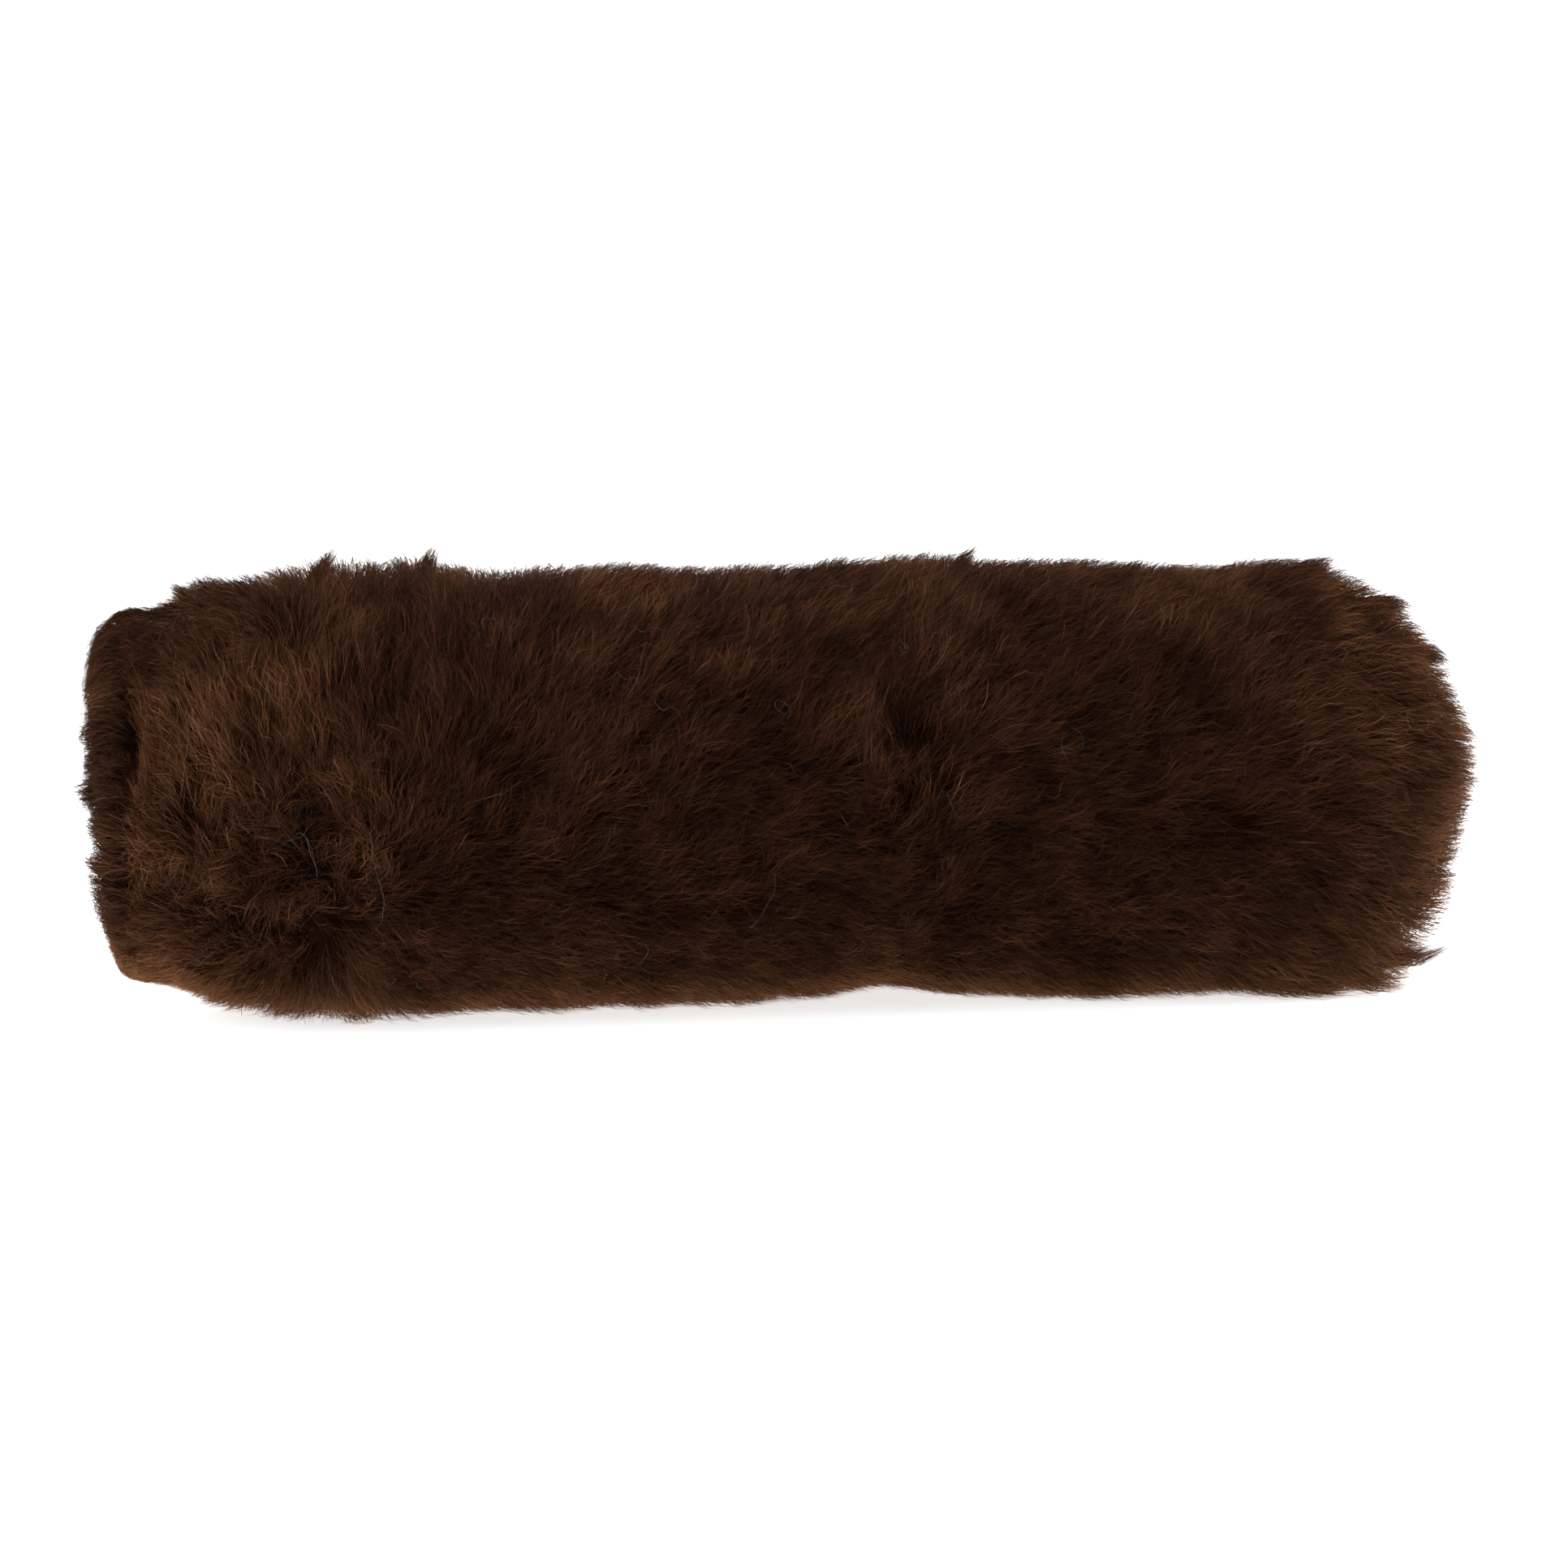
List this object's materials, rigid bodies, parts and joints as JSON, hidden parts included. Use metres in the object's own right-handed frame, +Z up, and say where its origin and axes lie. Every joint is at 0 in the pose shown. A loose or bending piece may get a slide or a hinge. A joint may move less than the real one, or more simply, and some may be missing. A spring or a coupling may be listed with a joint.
{
  "type": "furry microphone windscreen",
  "caption": "Long-pile fur cover with a domed front and gathered rear, slipped over a rigid lattice basket with a bayonet lock ring at its rear socket.",
  "frame": {"origin": "middle of the length, on the surface that the cover lies on, under the axis", "axes": "+X along the axis to the closed domed front, +Y across, +Z up; the axis is 67 mm above the origin"},
  "size_m": [0.45, 0.14, 0.137],
  "materials": {
    "fur": "matte",
    "binding_tape": "matte",
    "elastic": "matte",
    "scrim": "matte",
    "basket_plastic": "satin",
    "hoop_plastic": "satin",
    "collar_plastic": "satin",
    "ring_aluminium": "satin",
    "gasket_rubber": "matte",
    "screw_steel": "satin",
    "spring_steel": "satin"
  },
  "bodies": {
    "basket": {"cage_tube": "basket_plastic", "cage_nose": "basket_plastic", "nose_joint_ring": "basket_plastic", "nose_joint_screws": "screw_steel", "scrim_tube": "scrim", "scrim_nose": "scrim", "scrim_hoops": "hoop_plastic", "rear_frame_ring": "ring_aluminium", "collar_gasket": "gasket_rubber", "rear_collar": "collar_plastic", "collar_screws": "screw_steel", "stop_pin": "screw_steel", "retaining_ring": "spring_steel"},
    "cover": {"body_fur": "fur", "front_fur": "fur", "rear_fur": "fur", "front_seam_tape": "binding_tape", "rear_seam_tape": "binding_tape", "length_seam_tape": "binding_tape", "hem_casing": "binding_tape", "elastic_band": "elastic"},
    "lock_ring": {"lock_ring": "ring_aluminium"}
  },
  "joints": [
    {"name": "cover_slide", "type": "slide", "parent": "basket", "child": "cover", "axis": [1, 0, 0], "range_m": [0, 0.45], "deforming": ["rear_fur", "hem_casing", "elastic_band"]},
    {"name": "lock_turn", "type": "hinge", "parent": "basket", "child": "lock_ring", "pos_m": [-0.2093, 0, 0.067], "axis": [1, 0, 0], "range_deg": [0, 35]}
  ]
}
